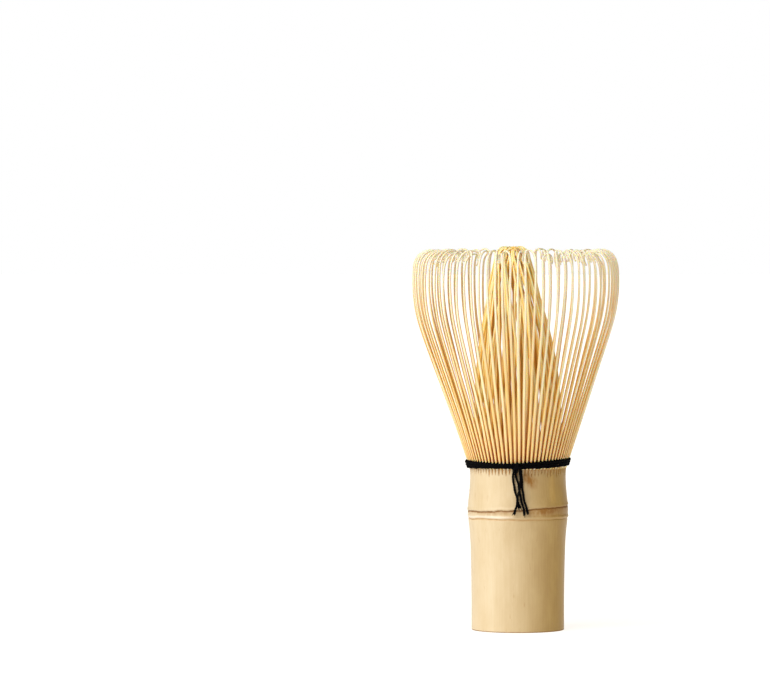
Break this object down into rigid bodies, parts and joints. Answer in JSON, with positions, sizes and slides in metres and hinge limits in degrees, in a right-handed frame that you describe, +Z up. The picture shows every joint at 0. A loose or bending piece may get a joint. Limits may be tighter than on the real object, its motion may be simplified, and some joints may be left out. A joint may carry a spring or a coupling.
{
  "type": "bamboo tea whisk",
  "caption": "Bamboo tea whisk: a hollow culm handle whose wall is split, above a black thread binding, into fine hooked outer tines around a leaning inner bundle.",
  "frame": {"origin": "centre of the handle's foot, in the plane that the whisk stands on", "axes": "+Z up along the handle's axis to the tines' tips, -Y to the front, where the thread is knotted, +X to the right seen from the front"},
  "size_m": [0.059, 0.059, 0.11],
  "materials": {
    "bamboo_handle": "pale dried bamboo, its skin smooth and slightly glossy, with a darker scar at the node",
    "bamboo_outer": "pale split bamboo, skin side out, satin",
    "bamboo_inner": "split bamboo from the culm's inside, a little darker, matt",
    "thread": "black twisted cotton thread, matt"
  },
  "bodies": {
    "handle": {"handle_culm": "bamboo_handle", "thread_lower_round": "thread", "thread_upper_round": "thread", "thread_inner_round": "thread", "thread_knot": "thread", "thread_tail_1": "thread", "thread_tail_2": "thread", "thread_tail_3": "thread", "thread_tail_4": "thread"},
    "outer_set_01": {"outer_tines_01": "bamboo_outer"},
    "outer_set_02": {"outer_tines_02": "bamboo_outer"},
    "outer_set_03": {"outer_tines_03": "bamboo_outer"},
    "outer_set_04": {"outer_tines_04": "bamboo_outer"},
    "outer_set_05": {"outer_tines_05": "bamboo_outer"},
    "outer_set_06": {"outer_tines_06": "bamboo_outer"},
    "outer_set_07": {"outer_tines_07": "bamboo_outer"},
    "outer_set_08": {"outer_tines_08": "bamboo_outer"},
    "outer_set_09": {"outer_tines_09": "bamboo_outer"},
    "outer_set_10": {"outer_tines_10": "bamboo_outer"},
    "outer_set_11": {"outer_tines_11": "bamboo_outer"},
    "outer_set_12": {"outer_tines_12": "bamboo_outer"},
    "outer_set_13": {"outer_tines_13": "bamboo_outer"},
    "outer_set_14": {"outer_tines_14": "bamboo_outer"},
    "outer_set_15": {"outer_tines_15": "bamboo_outer"},
    "outer_set_16": {"outer_tines_16": "bamboo_outer"},
    "inner_set_01": {"inner_tines_01": "bamboo_inner"},
    "inner_set_02": {"inner_tines_02": "bamboo_inner"},
    "inner_set_03": {"inner_tines_03": "bamboo_inner"},
    "inner_set_04": {"inner_tines_04": "bamboo_inner"},
    "inner_set_05": {"inner_tines_05": "bamboo_inner"},
    "inner_set_06": {"inner_tines_06": "bamboo_inner"},
    "inner_set_07": {"inner_tines_07": "bamboo_inner"},
    "inner_set_08": {"inner_tines_08": "bamboo_inner"},
    "inner_set_09": {"inner_tines_09": "bamboo_inner"},
    "inner_set_10": {"inner_tines_10": "bamboo_inner"},
    "inner_set_11": {"inner_tines_11": "bamboo_inner"},
    "inner_set_12": {"inner_tines_12": "bamboo_inner"},
    "inner_set_13": {"inner_tines_13": "bamboo_inner"},
    "inner_set_14": {"inner_tines_14": "bamboo_inner"},
    "inner_set_15": {"inner_tines_15": "bamboo_inner"},
    "inner_set_16": {"inner_tines_16": "bamboo_inner"}
  },
  "joints": [
    {"name": "outer_flex_01", "type": "hinge", "parent": "handle", "child": "outer_set_01", "pos_m": [0.0141, 0, 0.0479], "axis": [0, 1, 0], "range_deg": [-2.5, 8], "stiffness_Nm_per_rad": 0.02},
    {"name": "outer_flex_02", "type": "hinge", "parent": "handle", "child": "outer_set_02", "pos_m": [0.01303, 0.0054, 0.0479], "axis": [-0.3827, 0.9239, 0], "range_deg": [-2.5, 8], "stiffness_Nm_per_rad": 0.02},
    {"name": "outer_flex_03", "type": "hinge", "parent": "handle", "child": "outer_set_03", "pos_m": [0.00997, 0.00997, 0.0479], "axis": [-0.7071, 0.7071, 0], "range_deg": [-2.5, 8], "stiffness_Nm_per_rad": 0.02},
    {"name": "outer_flex_04", "type": "hinge", "parent": "handle", "child": "outer_set_04", "pos_m": [0.0054, 0.01303, 0.0479], "axis": [-0.9239, 0.3827, 0], "range_deg": [-2.5, 8], "stiffness_Nm_per_rad": 0.02},
    {"name": "outer_flex_05", "type": "hinge", "parent": "handle", "child": "outer_set_05", "pos_m": [0, 0.0141, 0.0479], "axis": [-1, 0, 0], "range_deg": [-2.5, 8], "stiffness_Nm_per_rad": 0.02},
    {"name": "outer_flex_06", "type": "hinge", "parent": "handle", "child": "outer_set_06", "pos_m": [-0.0054, 0.01303, 0.0479], "axis": [-0.9239, -0.3827, 0], "range_deg": [-2.5, 8], "stiffness_Nm_per_rad": 0.02},
    {"name": "outer_flex_07", "type": "hinge", "parent": "handle", "child": "outer_set_07", "pos_m": [-0.00997, 0.00997, 0.0479], "axis": [-0.7071, -0.7071, 0], "range_deg": [-2.5, 8], "stiffness_Nm_per_rad": 0.02},
    {"name": "outer_flex_08", "type": "hinge", "parent": "handle", "child": "outer_set_08", "pos_m": [-0.01303, 0.0054, 0.0479], "axis": [-0.3827, -0.9239, 0], "range_deg": [-2.5, 8], "stiffness_Nm_per_rad": 0.02},
    {"name": "outer_flex_09", "type": "hinge", "parent": "handle", "child": "outer_set_09", "pos_m": [-0.0141, 0, 0.0479], "axis": [0, -1, 0], "range_deg": [-2.5, 8], "stiffness_Nm_per_rad": 0.02},
    {"name": "outer_flex_10", "type": "hinge", "parent": "handle", "child": "outer_set_10", "pos_m": [-0.01303, -0.0054, 0.0479], "axis": [0.3827, -0.9239, 0], "range_deg": [-2.5, 8], "stiffness_Nm_per_rad": 0.02},
    {"name": "outer_flex_11", "type": "hinge", "parent": "handle", "child": "outer_set_11", "pos_m": [-0.00997, -0.00997, 0.0479], "axis": [0.7071, -0.7071, 0], "range_deg": [-2.5, 8], "stiffness_Nm_per_rad": 0.02},
    {"name": "outer_flex_12", "type": "hinge", "parent": "handle", "child": "outer_set_12", "pos_m": [-0.0054, -0.01303, 0.0479], "axis": [0.9239, -0.3827, 0], "range_deg": [-2.5, 8], "stiffness_Nm_per_rad": 0.02},
    {"name": "outer_flex_13", "type": "hinge", "parent": "handle", "child": "outer_set_13", "pos_m": [0, -0.0141, 0.0479], "axis": [1, 0, 0], "range_deg": [-2.5, 8], "stiffness_Nm_per_rad": 0.02},
    {"name": "outer_flex_14", "type": "hinge", "parent": "handle", "child": "outer_set_14", "pos_m": [0.0054, -0.01303, 0.0479], "axis": [0.9239, 0.3827, 0], "range_deg": [-2.5, 8], "stiffness_Nm_per_rad": 0.02},
    {"name": "outer_flex_15", "type": "hinge", "parent": "handle", "child": "outer_set_15", "pos_m": [0.00997, -0.00997, 0.0479], "axis": [0.7071, 0.7071, 0], "range_deg": [-2.5, 8], "stiffness_Nm_per_rad": 0.02},
    {"name": "outer_flex_16", "type": "hinge", "parent": "handle", "child": "outer_set_16", "pos_m": [0.01303, -0.0054, 0.0479], "axis": [0.3827, 0.9239, 0], "range_deg": [-2.5, 8], "stiffness_Nm_per_rad": 0.02},
    {"name": "inner_flex_01", "type": "hinge", "parent": "handle", "child": "inner_set_01", "pos_m": [0.01224, 0.00048, 0.0479], "axis": [-0.0393, 0.9992, 0], "range_deg": [0, 6], "stiffness_Nm_per_rad": 0.02},
    {"name": "inner_flex_02", "type": "hinge", "parent": "handle", "child": "inner_set_02", "pos_m": [0.01112, 0.00513, 0.0479], "axis": [-0.4187, 0.9081, 0], "range_deg": [0, 6], "stiffness_Nm_per_rad": 0.02},
    {"name": "inner_flex_03", "type": "hinge", "parent": "handle", "child": "inner_set_03", "pos_m": [0.00831, 0.00899, 0.0479], "axis": [-0.7343, 0.6788, 0], "range_deg": [0, 6], "stiffness_Nm_per_rad": 0.02},
    {"name": "inner_flex_04", "type": "hinge", "parent": "handle", "child": "inner_set_04", "pos_m": [0.00424, 0.01149, 0.0479], "axis": [-0.9382, 0.3461, 0], "range_deg": [0, 6], "stiffness_Nm_per_rad": 0.02},
    {"name": "inner_flex_05", "type": "hinge", "parent": "handle", "child": "inner_set_05", "pos_m": [-0.00048, 0.01224, 0.0479], "axis": [-0.9992, -0.0393, 0], "range_deg": [0, 6], "stiffness_Nm_per_rad": 0.02},
    {"name": "inner_flex_06", "type": "hinge", "parent": "handle", "child": "inner_set_06", "pos_m": [-0.00513, 0.01112, 0.0479], "axis": [-0.9081, -0.4187, 0], "range_deg": [0, 6], "stiffness_Nm_per_rad": 0.02},
    {"name": "inner_flex_07", "type": "hinge", "parent": "handle", "child": "inner_set_07", "pos_m": [-0.00899, 0.00831, 0.0479], "axis": [-0.6788, -0.7343, 0], "range_deg": [0, 6], "stiffness_Nm_per_rad": 0.02},
    {"name": "inner_flex_08", "type": "hinge", "parent": "handle", "child": "inner_set_08", "pos_m": [-0.01149, 0.00424, 0.0479], "axis": [-0.3461, -0.9382, 0], "range_deg": [0, 6], "stiffness_Nm_per_rad": 0.02},
    {"name": "inner_flex_09", "type": "hinge", "parent": "handle", "child": "inner_set_09", "pos_m": [-0.01224, -0.00048, 0.0479], "axis": [0.0393, -0.9992, 0], "range_deg": [0, 6], "stiffness_Nm_per_rad": 0.02},
    {"name": "inner_flex_10", "type": "hinge", "parent": "handle", "child": "inner_set_10", "pos_m": [-0.01112, -0.00513, 0.0479], "axis": [0.4187, -0.9081, 0], "range_deg": [0, 6], "stiffness_Nm_per_rad": 0.02},
    {"name": "inner_flex_11", "type": "hinge", "parent": "handle", "child": "inner_set_11", "pos_m": [-0.00831, -0.00899, 0.0479], "axis": [0.7343, -0.6788, 0], "range_deg": [0, 6], "stiffness_Nm_per_rad": 0.02},
    {"name": "inner_flex_12", "type": "hinge", "parent": "handle", "child": "inner_set_12", "pos_m": [-0.00424, -0.01149, 0.0479], "axis": [0.9382, -0.3461, 0], "range_deg": [0, 6], "stiffness_Nm_per_rad": 0.02},
    {"name": "inner_flex_13", "type": "hinge", "parent": "handle", "child": "inner_set_13", "pos_m": [0.00048, -0.01224, 0.0479], "axis": [0.9992, 0.0393, 0], "range_deg": [0, 6], "stiffness_Nm_per_rad": 0.02},
    {"name": "inner_flex_14", "type": "hinge", "parent": "handle", "child": "inner_set_14", "pos_m": [0.00513, -0.01112, 0.0479], "axis": [0.9081, 0.4187, 0], "range_deg": [0, 6], "stiffness_Nm_per_rad": 0.02},
    {"name": "inner_flex_15", "type": "hinge", "parent": "handle", "child": "inner_set_15", "pos_m": [0.00899, -0.00831, 0.0479], "axis": [0.6788, 0.7343, 0], "range_deg": [0, 6], "stiffness_Nm_per_rad": 0.02},
    {"name": "inner_flex_16", "type": "hinge", "parent": "handle", "child": "inner_set_16", "pos_m": [0.01149, -0.00424, 0.0479], "axis": [0.3461, 0.9382, 0], "range_deg": [0, 6], "stiffness_Nm_per_rad": 0.02}
  ]
}
